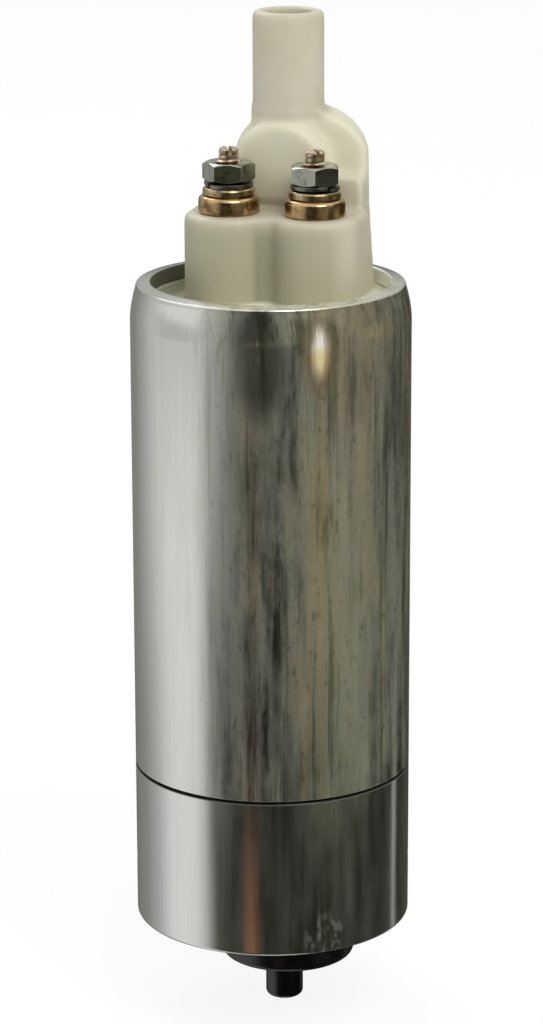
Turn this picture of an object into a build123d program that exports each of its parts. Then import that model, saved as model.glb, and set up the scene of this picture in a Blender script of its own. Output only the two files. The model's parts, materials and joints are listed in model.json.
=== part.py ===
from build123d import *
import math
import os

# Heights are measured up from the barrel's foot while building. The finished pieces are moved
# so that the origin lies on the barrel's axis, halfway up the straight wall that a clamp grips.
# The two terminals lie along X, and the outlet tube stands behind them, towards +Y.

# Barrel: a motor can whose lower end telescopes into a pump sleeve of the same outside
barrel_diameter = 43.0
barrel_height = 101.4
can_wall = 1.2
shoulder_height = 4.0
shoulder_lean = 0.7
crest_inset = 1.2
crest_round = 0.5
lip_reach = 3.45
lip_fall = 0.15
crimp_depth = 1.9
crimp_chamfer = 1.2
seam_height = 25.0
seam_gap = 0.25
spigot_wall = 1.0
spigot_root = 1.5
sleeve_lip = 1.2
sleeve_lip_reach = 3.0
foot_round = 0.6

# Fits
slip_gap = 0.05
seat_gap = 0.02
running_gap = 0.04
end_gap = 0.1
guide_gap = 0.1

# How far a cutting block runs past the face that it cuts
cut_over = 1.0

# Pump section, stacked on the sleeve's rolled lip
cover_thickness = 3.5
gasket_thickness = 0.5
gasket_width = 3.0
inlet_plate_thickness = 3.5
rotor_thickness = 7.0
outlet_plate_thickness = 3.3
outlet_step = 2.0
port_radius = 6.9
port_width = 2.0
port_angle = 110.0

# Rotors: six lobes running inside seven
inner_lobes = 6
eccentricity = 0.8
lobe_pitch_radius = 9.5
lobe_radius = 3.0
outer_rotor_radius = 12.6
mesh_gap = 0.05
points_per_lobe = 20
root_gap = 0.1

# Screws and dowels through the pump section
screw_inset = 3.45
screw_radius = 1.25
screw_head_radius = 2.3
screw_head_height = 1.6
screw_count = 3
screw_first_angle = 90.0
driver_flats = 2.0
driver_depth = 0.8
dowel_radius = 1.2
dowel_count = 2
dowel_first_angle = 0.0

# Inlet cover's collar and the peg that the strainer is pushed on to
collar_radius = 10.5
collar_wall = 1.8
collar_offset = 2.45
collar_drop = 7.1
collar_round = 1.0
peg_radius = 2.95
peg_offset = 1.9
peg_drop = 14.8
peg_round = 0.9
flute_count = 6
flute_width = 0.5
flute_depth = 0.15
inlet_port_radius = 6.0
inlet_port_width = 3.2
inlet_port_angle = 100.0

# Shaft and bushes
shaft_radius = 2.0
shaft_body_radius = 2.6
shaft_flat = 1.5
bush_wall = 1.5
lower_bush_height = 7.6
lower_bush_inset = 0.5
upper_bush_height = 6.8
bush_hub_wall = 1.5
washer_radius = 3.4
washer_thickness = 1.0

# Motor, which fills the height between the can's swage and the brush holder
air_gap = 0.6
magnet_thickness = 3.2
magnet_angle = 130.0
magnet_lift = 5.175
clip_thickness = 0.7
clip_inset = 7.5
clip_leg = 2.4
core_lift = 5.0
tooth_count = 10
tooth_width = 3.0
tooth_shoe = 1.4
slot_opening = 1.4
core_hub_radius = 6.5
coil_overhang = 4.4
coil_gap = 0.15
coil_bore_radius = 4.2
end_turn_round = 1.4
commutator_radius = 11.0
commutator_height = 3.0
carrier_radius = 9.0
carrier_height = 2.0
segment_count = 8
segment_slot = 0.5
segment_depth = 1.2
commutator_gap = 0.6
commutator_hub_radius = 3.4
commutator_hub_height = 1.9

# Brush gear
brush_pitch = 13.9
brush_width = 5.0
brush_breadth = 7.0
brush_length = 8.0
brush_gap = 0.05
holder_height = 8.0
holder_skirt_wall = 1.3
holder_skirt_height = 6.0
holder_port_radius = 13.0
holder_port_width = 5.0
holder_port_angle = 100.0
brush_spring_radius = 1.8
brush_spring_wire = 0.25
brush_spring_turns = 5
lead_radius = 0.5

# White end cap. Heights in this group and the two after it are measured up from the barrel's rim
cap_body_height = 7.8
deck_recess = 1.2
seal_wire = 0.8
seal_height = 2.2
terminal_pitch = 13.4
terminal_middle = 0.2
boss_radius = 6.8
boss_height = 10.6
boss_round = 1.0
boss_valley_radius = 2.0
boss_run_back = 1.0
tower_left = -8.0
tower_right = 12.75
tower_flare = 1.2
tower_front = 6.0
tower_inset = 0.55
ledge_height = 15.6
front_arch_radius = 7.9
front_arch_height = 23.7
rear_arch_front = 9.0
rear_arch_spring = 18.1
rear_arch_rise = 7.1
outlet_radius = 5.5
outlet_root_radius = 5.7
outlet_root_rise = 0.1
outlet_bore_radius = 3.6
outlet_inset = 0.4
outlet_height = 39.95
outlet_round = 0.8
mark_x = 8.9
mark_height = 18.5
mark_size = 1.6
mark_stroke = 0.4
mark_relief = 0.25

# Terminals
stud_radius = 2.0
stud_head_radius = 3.2
stud_head_height = 1.2
stud_pocket_radius = 3.7
stud_pocket_depth = 4.5
thread_over = 0.55
stud_tip_height = 1.6
stud_tip_radius = 1.5
stud_chamfer = 0.3
tip_slot_width = 0.55
tip_slot_depth = 1.0
left_slot_turn = 26.0
right_slot_turn = 34.0
spacer_radius = 4.65
spacer_height = 2.7
flat_washer_radius = 4.0
flat_washer_height = 1.3
edge_round = 0.4
lock_washer_radius = 3.75
lock_washer_height = 0.9
lock_washer_split = 0.7
left_split_turn = -130.0
right_split_turn = -40.0
nut_across_flats = 7.0
nut_height = 2.85
nut_chamfer = 0.35
right_nut_turn = -76.0
left_nut_turn = -56.0

# Check valve in the outlet, and the relief valve beside it
valve_seat_height = 11.6
valve_seat_radius = 2.2
valve_head_radius = 3.0
valve_head_height = 2.0
valve_stem_radius = 0.9
valve_stem_length = 9.0
check_spring_length = 5.94
retainer_height = 2.2
retainer_hole_radius = 0.75
retainer_hole_circle = 2.3
retainer_hole_count = 4
check_spring_radius = 2.0
check_spring_wire = 0.25
check_spring_turns = 4
relief_x = 8.2
relief_forward = 1.1
relief_bore_radius = 2.55
relief_bore_height = 10.6
relief_seat_inset = 0.5
relief_seat_height = 3.0
relief_hole_radius = 1.3
relief_ball_radius = 1.9
relief_spring_radius = 1.6
relief_spring_wire = 0.25
relief_spring_turns = 8
relief_vent_radius = 0.9
relief_vent_height = 2.6

# Sizes that follow from those above
barrel_radius = barrel_diameter / 2
can_bore = barrel_radius - can_wall
inside_radius = can_bore - slip_gap
screw_circle = inside_radius - screw_inset
crest_radius = barrel_radius - crest_inset
lip_radius = barrel_radius - lip_reach
shoulder_foot = barrel_height - shoulder_height
can_foot = seam_height + seam_gap / 2
sleeve_top = seam_height - seam_gap / 2
clamp_middle = (foot_round + shoulder_foot) / 2
spigot_bore = inside_radius - spigot_wall

cover_top = sleeve_lip + cover_thickness
gasket_top = cover_top + gasket_thickness
inlet_plate_top = gasket_top + inlet_plate_thickness
rotor_top = inlet_plate_top + rotor_thickness
outlet_plate_top = rotor_top + outlet_plate_thickness
lower_bush_foot = rotor_top + lower_bush_inset
lower_bush_top = lower_bush_foot + lower_bush_height
bush_radius = shaft_radius + running_gap + bush_wall
lower_hub_radius = bush_radius + seat_gap + bush_hub_wall

cap_shoulder = barrel_height - crimp_depth
cap_foot = cap_shoulder - cap_body_height
deck_height = cap_shoulder - deck_recess
holder_foot = cap_foot - holder_height
brush_x = brush_pitch / 2
terminal_reach = terminal_pitch / 2
terminal_xs = (terminal_middle - terminal_reach, terminal_middle + terminal_reach)
pocket_top = cap_foot + stud_pocket_depth
stud_head_foot = pocket_top - stud_head_height

magnet_bore = inside_radius - magnet_thickness
magnet_foot = can_foot + spigot_root + can_wall + magnet_lift
magnet_top = holder_foot - holder_skirt_height
commutator_hub_top = holder_foot - end_gap - washer_thickness
commutator_face = commutator_hub_top - commutator_hub_height
segment_foot = commutator_face - commutator_height
carrier_foot = segment_foot - carrier_height
coil_top = carrier_foot - commutator_gap
core_radius = magnet_bore - air_gap
core_foot = magnet_foot + core_lift
core_top = coil_top - coil_overhang
brush_foot = commutator_face + brush_gap
brush_top = brush_foot + brush_length

boss_top = barrel_height + boss_height
ledge_top = barrel_height + ledge_height
front_arch_top = barrel_height + front_arch_height
rear_arch_foot = barrel_height + rear_arch_spring
outlet_root_top = rear_arch_foot + rear_arch_rise + outlet_root_rise
outlet_top = barrel_height + outlet_height
tower_radius = lip_radius - tower_inset
outlet_behind = tower_radius - outlet_inset - outlet_radius
spacer_top = boss_top + spacer_height
flat_washer_top = spacer_top + flat_washer_height
lock_washer_top = flat_washer_top + lock_washer_height
nut_top = lock_washer_top + nut_height
stud_thread_top = nut_top + thread_over
stud_top = stud_thread_top + stud_tip_height
ring_bore = stud_radius + guide_gap

valve_seat_top = barrel_height + valve_seat_height
check_spring_foot = valve_seat_top + valve_head_height + seat_gap * 2
retainer_foot = check_spring_foot + check_spring_length + seat_gap
relief_y = outlet_behind - relief_forward
relief_bore_top = barrel_height + relief_bore_height
relief_seat_top = cap_foot + relief_seat_inset + relief_seat_height
ball_drop = math.sqrt(relief_ball_radius ** 2 - relief_hole_radius ** 2)
ball_height = relief_seat_top + ball_drop + seat_gap


def disc(radius, foot, top, x=0.0, y=0.0):
    """A plain cylinder standing between two heights."""
    return Pos(x, y, foot) * extrude(Circle(radius), top - foot)


def ring(radius, bore, foot, top):
    """A cylinder with a through bore."""
    return Pos(0, 0, foot) * extrude(Circle(radius) - Circle(bore), top - foot)


def block(x_low, x_high, y_low, y_high, foot, top):
    """A box given by its faces."""
    middle = Pos((x_low + x_high) / 2, (y_low + y_high) / 2, foot)
    return middle * extrude(Rectangle(x_high - x_low, y_high - y_low), top - foot)


def turned(*points):
    """A solid of revolution about Z from a closed outline of (radius, height) points."""
    outline = Polyline(*[(r, 0, z) for r, z in points], close=True)
    return revolve(make_face(outline), Axis.Z)


def sector(radius, bore, angle, turn):
    """A flat ring sector of up to half a turn, centred on the direction turn."""
    reach = radius * 2
    half = math.radians(angle / 2)
    tip = (reach * math.cos(half), reach * math.sin(half))
    wedge = make_face(Polyline((0, 0), tip, (reach, 0), (tip[0], -tip[1]), close=True))
    return Rot(0, 0, turn) * ((Circle(radius) - Circle(bore)) & wedge)


def kidney(middle_radius, width, angle, turn):
    """A curved slot with round ends, centred on the direction turn."""
    half = math.radians(angle / 2)
    start = (middle_radius * math.cos(half), -middle_radius * math.sin(half))
    end = (start[0], -start[1])
    arc = ThreePointArc(start, (middle_radius, 0), end)
    return Rot(0, 0, turn) * SlotArc(arc, width)


def coil_spring(radius, wire, turns, foot, top):
    """A round-wire spring between two heights, one half turn to an arc."""
    low = foot + wire
    rise = top - wire - low
    halves = turns * 2

    def point(u):
        angle = math.pi * u
        return (radius * math.cos(angle), radius * math.sin(angle), low + rise * u / halves)

    path = Wire([ThreePointArc(point(k), point(k + 0.5), point(k + 1)) for k in range(halves)])
    section = Plane(origin=path @ 0, z_dir=-(path % 0)) * Circle(wire)
    return sweep(section, path=path)


def motor_can():
    """Drawn steel can with its top rolled in over the cap and a swaged lower spigot."""
    lip_top = barrel_height - lip_fall
    round_foot = barrel_height - crest_round
    round_width = crest_inset - shoulder_lean
    round_over = EllipticalCenterArc((0, 0), round_width, crest_round, start_angle=0, arc_size=90)
    edge = [
        Polyline(
            (barrel_radius, 0, can_foot),
            (barrel_radius, 0, shoulder_foot),
            (barrel_radius - shoulder_lean, 0, round_foot),
        ),
        Plane((crest_radius, 0, round_foot), (1, 0, 0), (0, -1, 0)) * round_over,
        Polyline(
            (crest_radius, 0, barrel_height),
            (lip_radius, 0, lip_top),
            (lip_radius, 0, cap_shoulder),
            (can_bore - crimp_chamfer, 0, cap_shoulder),
            (can_bore, 0, cap_shoulder - crimp_chamfer),
            (can_bore, 0, can_foot + spigot_root + can_wall),
            (spigot_bore, 0, can_foot + spigot_root),
            (spigot_bore, 0, outlet_plate_top),
            (inside_radius, 0, outlet_plate_top),
            (inside_radius, 0, can_foot),
            (barrel_radius, 0, can_foot),
        ),
    ]
    return revolve(make_face(edge), Axis.Z)


def pump_sleeve():
    """Lower sleeve, flush with the can, with its foot rolled in under the inlet cover."""
    lip = barrel_radius - sleeve_lip_reach
    body = turned(
        (lip, 0),
        (barrel_radius, 0),
        (barrel_radius, sleeve_top),
        (can_bore, sleeve_top),
        (can_bore, sleeve_lip),
        (lip, sleeve_lip),
    )
    foot_edge = body.edges().filter_by(GeomType.CIRCLE).group_by(Axis.Z)[0].sort_by(SortBy.RADIUS)[-1]
    return fillet(foot_edge, foot_round)


def inlet_cover():
    """Black moulded cover with the inlet collar and the fluted peg for the strainer."""
    body = disc(inside_radius, sleeve_lip, cover_top)
    collar = disc(collar_radius, -collar_drop, sleeve_lip, x=collar_offset)
    collar = fillet(collar.edges().sort_by(Axis.Z)[0], collar_round)
    recess = disc(collar_radius - collar_wall, -collar_drop, sleeve_lip, x=collar_offset)
    peg = disc(peg_radius, -peg_drop, sleeve_lip, x=peg_offset)
    peg = fillet(peg.edges().sort_by(Axis.Z)[0], peg_round)
    flute = block(peg_radius - flute_depth, peg_radius + cut_over, -flute_width / 2,
                  flute_width / 2, -peg_drop, -collar_drop)
    for k in range(flute_count):
        peg -= Pos(peg_offset, 0, 0) * Rot(0, 0, 360 / flute_count * (k + 0.5)) * flute
    port = kidney(inlet_port_radius, inlet_port_width, inlet_port_angle, 90)
    body = body + (collar - recess) + peg
    return body - Pos(collar_offset, 0, sleeve_lip) * extrude(port, cover_thickness)


def cover_gasket():
    """Flat gasket between the cover and the pump."""
    return ring(inside_radius, inside_radius - gasket_width, cover_top, gasket_top)


def fastener_places(count, first):
    """Places on the screw circle."""
    return [Rot(0, 0, first + 360 / count * k) * Pos(screw_circle, 0, 0) for k in range(count)]


def drilled(plate, foot, top):
    """Cut the screw and dowel holes through a plate of the pump section."""
    for place in fastener_places(screw_count, screw_first_angle):
        plate -= place * disc(screw_radius + seat_gap, foot, top)
    for place in fastener_places(dowel_count, dowel_first_angle):
        plate -= place * disc(dowel_radius + seat_gap, foot, top)
    return plate


def inlet_plate():
    """Lower wear plate, with the suction port and the counterbores of the screws."""
    plate = drilled(disc(inside_radius, gasket_top, inlet_plate_top), gasket_top, inlet_plate_top)
    port = kidney(port_radius, port_width, port_angle, 90)
    plate -= Pos(0, 0, gasket_top) * extrude(port, inlet_plate_thickness)
    for place in fastener_places(screw_count, screw_first_angle):
        head = disc(screw_head_radius + seat_gap, gasket_top, gasket_top + screw_head_height)
        plate -= place * head
    return plate


def rotor_ring():
    """Ring whose bore is off centre and carries the outer rotor."""
    body = disc(inside_radius, inlet_plate_top, rotor_top)
    bore = disc(outer_rotor_radius + running_gap, inlet_plate_top, rotor_top, x=-eccentricity)
    return drilled(body - bore, inlet_plate_top, rotor_top)


def outlet_plate():
    """Upper wear plate with the pressure port and the hub of the lower bush."""
    body = disc(inside_radius, rotor_top, outlet_plate_top)
    body += disc(spigot_bore - slip_gap, outlet_plate_top, outlet_plate_top + outlet_step)
    body += disc(lower_hub_radius, rotor_top, lower_bush_top)
    body -= disc(bush_radius + seat_gap, lower_bush_foot, lower_bush_top)
    body -= disc(shaft_radius + end_gap, rotor_top, lower_bush_foot)
    port = kidney(port_radius, port_width, port_angle, -90)
    body -= Pos(0, 0, rotor_top) * extrude(port, outlet_plate_thickness + outlet_step)
    return drilled(body, rotor_top, outlet_plate_top)


def pump_screws():
    """Screws that clamp the two plates and the ring together."""
    one = disc(screw_radius, gasket_top, outlet_plate_top)
    one += disc(screw_head_radius, gasket_top, gasket_top + screw_head_height)
    hexagon = RegularPolygon(driver_flats / math.sqrt(3), 6)
    one -= Pos(0, 0, gasket_top) * extrude(hexagon, driver_depth)
    return [place * one for place in fastener_places(screw_count, screw_first_angle)]


def alignment_pins():
    """Dowels that line the plates up with the ring."""
    one = disc(dowel_radius, gasket_top, outlet_plate_top)
    return [place * one for place in fastener_places(dowel_count, dowel_first_angle)]


def outer_rotor():
    """Outer rotor: seven round lobes standing in from a root circle."""
    foot = inlet_plate_top + running_gap
    height = rotor_thickness - running_gap * 2
    root = lobe_pitch_radius - lobe_radius + eccentricity * 2 + root_gap
    cavity = Circle(root)
    lobes = inner_lobes + 1
    for k in range(lobes):
        cavity -= Rot(0, 0, 360 / lobes * k) * Pos(lobe_pitch_radius, 0) * Circle(lobe_radius)
    return Pos(-eccentricity, 0, foot) * extrude(Circle(outer_rotor_radius) - cavity, height)


def inner_rotor():
    """Inner rotor: the curve that rolls inside the lobes, driven by two flats on the shaft."""
    foot = inlet_plate_top + running_gap
    height = rotor_thickness - running_gap * 2
    lobes = inner_lobes + 1
    reach = lobe_radius + mesh_gap
    ratio = lobe_pitch_radius / (eccentricity * lobes)
    points = []
    steps = inner_lobes * points_per_lobe
    for k in range(steps):
        t = 2 * math.pi * k / steps
        lean = math.atan2(math.sin((1 - lobes) * t), ratio - math.cos((1 - lobes) * t))
        x = lobe_pitch_radius * math.cos(t) - reach * math.cos(t + lean)
        y = -lobe_pitch_radius * math.sin(t) + reach * math.sin(t + lean)
        x -= eccentricity * math.cos(lobes * t)
        y += eccentricity * math.sin(lobes * t)
        points.append((x, y))
    profile = make_face(Spline(*points, periodic=True))
    flats = Rectangle(shaft_radius * 4, (shaft_flat + slip_gap) * 2)
    return Pos(0, 0, foot) * extrude(profile - (Circle(shaft_radius + slip_gap) & flats), height)


def armature_shaft():
    """Ground shaft, thick under the core, with two flats for the inner rotor."""
    foot = inlet_plate_top + end_gap
    top = holder_foot + upper_bush_height - end_gap
    body = disc(shaft_radius, foot, top)
    body += disc(shaft_body_radius, lower_bush_top + end_gap + washer_thickness, commutator_hub_top)
    side = shaft_radius * 2
    for turn in (0, 180):
        flat = block(-side, side, shaft_flat, side, foot, rotor_top)
        body -= Rot(0, 0, turn) * flat
    return body


def bush(foot, height):
    """Sintered bronze bush."""
    return ring(bush_radius, shaft_radius + running_gap, foot, foot + height)


def thrust_washers():
    """Hard washers between the armature and its two bushes."""
    low = lower_bush_top + end_gap
    bore = shaft_radius + seat_gap
    upper_top = commutator_hub_top + washer_thickness
    return [
        ring(washer_radius, bore, low, low + washer_thickness),
        ring(washer_radius, bore, commutator_hub_top, upper_top),
    ]


def tooth_plan(width):
    """The plan of all the teeth, as bars from the axis to the middle of their shoes."""
    length = core_radius - tooth_shoe / 2
    bar = Pos(length / 2, 0) * Rectangle(length, width)
    plan = Circle(core_hub_radius)
    for k in range(tooth_count):
        plan += Rot(0, 0, 360 / tooth_count * k) * bar
    return plan


def armature_core():
    """Laminated core with ten wound teeth."""
    shoe_bore = core_radius - tooth_shoe
    plan = tooth_plan(tooth_width) + (Circle(core_radius) - Circle(shoe_bore))
    opening = Pos(core_radius, 0) * Rectangle(tooth_shoe * 3, slot_opening)
    for k in range(tooth_count):
        plan -= Rot(0, 0, 360 / tooth_count * (k + 0.5)) * opening
    plan -= Circle(shaft_body_radius + seat_gap)
    return Pos(0, 0, core_foot) * extrude(plan, core_top - core_foot)


def armature_windings():
    """Copper windings that fill the slots and turn over both ends of the core."""
    outer = core_radius - tooth_shoe - coil_gap
    bottom = core_foot - coil_overhang
    wires = Circle(outer) - tooth_plan(tooth_width + coil_gap * 2)
    wires -= Circle(core_hub_radius + coil_gap)
    body = Pos(0, 0, bottom) * extrude(wires, coil_top - bottom)
    depth = coil_overhang - coil_gap
    for foot in (bottom, coil_top - depth):
        end_turn = ring(outer, coil_bore_radius, foot, foot + depth)
        body += fillet(end_turn.edges().filter_by(GeomType.CIRCLE), min(end_turn_round, depth / 3))
    return body


def commutator():
    """Face commutator: segments on a moulded carrier."""
    body = disc(carrier_radius, carrier_foot, segment_foot)
    body += disc(commutator_radius, segment_foot, commutator_face)
    body += disc(commutator_hub_radius, commutator_face, commutator_hub_top)
    body -= disc(shaft_body_radius + seat_gap, carrier_foot, commutator_hub_top)
    cut = block(commutator_hub_radius, commutator_radius + cut_over, -segment_slot / 2,
                segment_slot / 2, commutator_face - segment_depth, commutator_face)
    for k in range(segment_count):
        body -= Rot(0, 0, 360 / segment_count * (k + 0.5)) * cut
    return body


def magnet(turn):
    """One arc magnet, bonded to the can's bore."""
    plan = sector(inside_radius, magnet_bore, magnet_angle, turn)
    return Pos(0, 0, magnet_foot) * extrude(plan, magnet_top - magnet_foot)


def magnet_clips():
    """Spring clips that spread the two magnets apart."""
    gap_angle = 180 - magnet_angle
    side_gap = math.degrees(slip_gap / magnet_bore)
    span = gap_angle - side_gap * 2
    leg_angle = math.degrees(clip_thickness / magnet_bore)
    plan = sector(inside_radius, inside_radius - clip_thickness, span, 90)
    for side in (-1, 1):
        lean = 90 + side * (span - leg_angle) / 2
        plan += sector(inside_radius, inside_radius - clip_leg, leg_angle, lean)
    foot = magnet_foot + clip_inset
    one = Pos(0, 0, foot) * extrude(plan, magnet_top - clip_inset - foot)
    return [one, Rot(0, 0, 180) * one]


def brush_holder():
    """Moulded plate that holds the upper bush and guides the brushes."""
    body = disc(inside_radius, holder_foot, cap_foot)
    body += ring(inside_radius, inside_radius - holder_skirt_wall, magnet_top, holder_foot)
    body -= disc(bush_radius + seat_gap, holder_foot, holder_foot + upper_bush_height)
    guide_x = brush_width / 2 + guide_gap
    guide_y = brush_breadth / 2 + guide_gap
    for x in (-brush_x, brush_x):
        body -= block(x - guide_x, x + guide_x, -guide_y, guide_y, holder_foot, cap_foot)
    for turn in (90, -90):
        port = kidney(holder_port_radius, holder_port_width, holder_port_angle, turn)
        body -= Pos(0, 0, holder_foot) * extrude(port, holder_height)
    return body


def brush(x):
    """Carbon brush that bears on the commutator's face."""
    half_width = brush_width / 2
    half_breadth = brush_breadth / 2
    return block(x - half_width, x + half_width, -half_breadth, half_breadth, brush_foot, brush_top)


def brush_spring(x):
    """Spring between a brush and the head of its stud."""
    spring = coil_spring(brush_spring_radius, brush_spring_wire, brush_spring_turns,
                         brush_top + seat_gap, stud_head_foot - seat_gap)
    return Pos(x, 0, 0) * spring


def brush_lead(x):
    """Braided lead inside the spring, from the brush to the stud."""
    return disc(lead_radius, brush_top + seat_gap, stud_head_foot - seat_gap, x=x)


def tower_body():
    """The moulding behind the terminals: a prism with two arches on it and a spread right foot."""
    reach = tower_radius * 2
    outline = Circle(tower_radius)
    strip = Pos((tower_left + tower_right) / 2, tower_front + reach / 2)
    outline &= strip * Rectangle(tower_right - tower_left, reach)
    prism = Pos(0, 0, deck_height) * extrude(outline, ledge_top - deck_height)

    front_spring = front_arch_top - front_arch_radius
    front_plan = Pos(0, front_spring) * Circle(front_arch_radius)
    sides = (front_spring - ledge_top) + front_arch_radius
    front_plan += Pos(0, front_spring - sides / 2) * Rectangle(front_arch_radius * 2, sides)
    front = extrude(Plane.XZ * front_plan, -reach)
    front = Pos(0, tower_front, 0) * front

    middle = (tower_left + tower_right) / 2
    half = (tower_right - tower_left) / 2
    rear_plan = Pos(middle, rear_arch_foot) * Ellipse(half, rear_arch_rise)
    fall = rear_arch_foot - ledge_top + rear_arch_rise
    rear_plan += Pos(middle, rear_arch_foot - fall / 2) * Rectangle(half * 2, fall)
    rear = Pos(0, rear_arch_front, 0) * extrude(Plane.XZ * rear_plan, -reach)

    spread = Polyline(
        (tower_right, boss_top),
        (tower_right + tower_flare, deck_height),
        (tower_right - tower_flare, deck_height),
        close=True,
    )
    foot = Pos(0, tower_front, 0) * extrude(Plane.XZ * make_face(spread), -reach)

    above = disc(tower_radius, deck_height, outlet_top)
    return prism + ((front + rear + foot) & above)


def terminal_bosses():
    """Two round bosses that run back into the tower, with a rounded valley between them."""
    back = tower_front + boss_run_back
    plan = None
    for x in terminal_xs:
        boss = Pos(x, 0) * Circle(boss_radius)
        boss += Pos(x, back / 2) * Rectangle(boss_radius * 2, back)
        plan = boss if plan is None else plan + boss
    reach = boss_radius + boss_valley_radius
    valley_y = -math.sqrt(reach ** 2 - terminal_reach ** 2)
    touch_x = terminal_reach * boss_valley_radius / reach
    touch_y = valley_y - valley_y * boss_valley_radius / reach
    web = Pos(0, (touch_y + back) / 2) * Rectangle(touch_x * 2, back - touch_y)
    plan += Pos(terminal_middle, 0) * (web - Pos(0, valley_y) * Circle(boss_valley_radius))
    body = Pos(0, 0, deck_height) * extrude(plan, boss_top - deck_height)
    return fillet(body.edges().group_by(Axis.Z)[-1], boss_round)


def polarity_mark():
    """A small raised plus by the right terminal, on the front of the rear arch."""
    plus = Rectangle(mark_size, mark_stroke) + Rectangle(mark_stroke, mark_size)
    return Pos(mark_x, rear_arch_front, barrel_height + mark_height) * extrude(Plane.XZ * plus, mark_relief)


def end_cap():
    """White moulded cap: body, deck, bosses, tower, outlet tube and every bore in them."""
    top_edge = cap_shoulder - seat_gap
    body = turned(
        (0, cap_foot),
        (inside_radius, cap_foot),
        (inside_radius, top_edge - crimp_chamfer),
        (inside_radius - crimp_chamfer, top_edge),
        (lip_radius - slip_gap, top_edge),
        (lip_radius - slip_gap, deck_height),
        (0, deck_height),
    )
    groove = inside_radius - seal_wire * 2 - slip_gap
    low = cap_foot + seal_height
    body -= ring(inside_radius + cut_over, groove, low, low + (seal_wire + slip_gap) * 2)
    body += terminal_bosses()
    body += tower_body()
    tube = disc(outlet_radius, deck_height, outlet_top, y=outlet_behind)
    tube = fillet(tube.edges().sort_by(Axis.Z)[-1], outlet_round)
    tube += disc(outlet_root_radius, deck_height, outlet_root_top, y=outlet_behind)
    body += tube
    body -= disc(valve_seat_radius, cap_foot, valve_seat_top, y=outlet_behind)
    body -= disc(outlet_bore_radius, valve_seat_top, outlet_top, y=outlet_behind)
    for x in terminal_xs:
        body -= disc(stud_pocket_radius, cap_foot, pocket_top, x=x)
        body -= disc(stud_radius + slip_gap, pocket_top, boss_top, x=x)
    body -= disc(relief_bore_radius, cap_foot, relief_bore_top, x=relief_x, y=relief_y)
    vent = extrude(Plane.XZ * Circle(relief_vent_radius), -tower_radius)
    body -= Pos(relief_x, relief_y, barrel_height + relief_vent_height) * vent
    return body + polarity_mark()


def cap_seal():
    """O-ring round the cap."""
    middle = cap_foot + seal_height + seal_wire + slip_gap
    return Pos(0, 0, middle) * Torus(inside_radius - seal_wire, seal_wire)


def terminal_places():
    """Places of the two terminals, left then right, as seen from the front."""
    return [Pos(x, 0, 0) for x in terminal_xs]


def terminal_studs():
    """Threaded studs, with their heads inside the cap."""
    one = disc(stud_head_radius, stud_head_foot, pocket_top - seat_gap)
    one += disc(stud_radius, stud_head_foot, stud_thread_top)
    tip = disc(stud_tip_radius, stud_thread_top, stud_top)
    one += chamfer(tip.edges().sort_by(Axis.Z)[-1], stud_chamfer)
    slot = block(-tip_slot_width / 2, tip_slot_width / 2, -stud_radius, stud_radius,
                 stud_top - tip_slot_depth, stud_top)
    turns = (left_slot_turn, right_slot_turn)
    return [place * (one - Rot(0, 0, turn) * slot) for place, turn in zip(terminal_places(), turns)]


def rounded_ring(radius, foot, top):
    """A brass ring on a stud, with its outer edges rounded."""
    body = disc(radius, foot, top)
    body = fillet(body.edges().filter_by(GeomType.CIRCLE), edge_round)
    body -= disc(ring_bore, foot, top)
    return [place * body for place in terminal_places()]


def lock_washers():
    """Split spring washers under the nuts."""
    one = ring(lock_washer_radius, ring_bore, flat_washer_top, lock_washer_top)
    split = block(0, lock_washer_radius * 2, -lock_washer_split / 2, lock_washer_split / 2,
                  flat_washer_top, lock_washer_top)
    turns = (left_split_turn, right_split_turn)
    return [place * (one - Rot(0, 0, turn) * split) for place, turn in zip(terminal_places(), turns)]


def terminal_nuts():
    """Hexagon nuts with chamfered corners."""
    corner = nut_across_flats / math.sqrt(3)
    slope = nut_chamfer / 2
    bound = turned(
        (0, lock_washer_top),
        (corner - nut_chamfer, lock_washer_top),
        (corner, lock_washer_top + slope),
        (corner, nut_top - slope),
        (corner - nut_chamfer, nut_top),
        (0, nut_top),
    )
    nuts = []
    for place, turn in zip(terminal_places(), (left_nut_turn, right_nut_turn)):
        hexagon = Rot(0, 0, turn) * RegularPolygon(corner, 6)
        body = Pos(0, 0, lock_washer_top) * extrude(hexagon, nut_height)
        body = (body & bound) - disc(stud_radius + seat_gap, lock_washer_top, nut_top)
        nuts.append(place * body)
    return nuts


def check_valve():
    """Poppet that closes the outlet when the pump stops."""
    foot = valve_seat_top + seat_gap
    body = disc(valve_head_radius, foot, foot + valve_head_height, y=outlet_behind)
    stem_top = foot + valve_head_height + valve_stem_length
    return body + disc(valve_stem_radius, foot, stem_top, y=outlet_behind)


def check_spring():
    """Spring that shuts the poppet."""
    spring = coil_spring(check_spring_radius, check_spring_wire, check_spring_turns,
                         check_spring_foot, retainer_foot - seat_gap)
    return Pos(0, outlet_behind, 0) * spring


def valve_retainer():
    """Pressed-in spider that backs the spring and guides the stem."""
    top = retainer_foot + retainer_height
    body = disc(outlet_bore_radius - seat_gap, retainer_foot, top)
    body -= disc(valve_stem_radius + guide_gap, retainer_foot, top)
    hole = disc(retainer_hole_radius, retainer_foot, top, x=retainer_hole_circle)
    for k in range(retainer_hole_count):
        body -= Rot(0, 0, 360 / retainer_hole_count * (k + 0.5)) * hole
    return Pos(0, outlet_behind, 0) * body


def relief_seat():
    """Brass seat pressed into the relief bore from below."""
    body = ring(relief_bore_radius - seat_gap, relief_hole_radius,
                cap_foot + relief_seat_inset, relief_seat_top)
    return Pos(relief_x, relief_y, 0) * body


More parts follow.
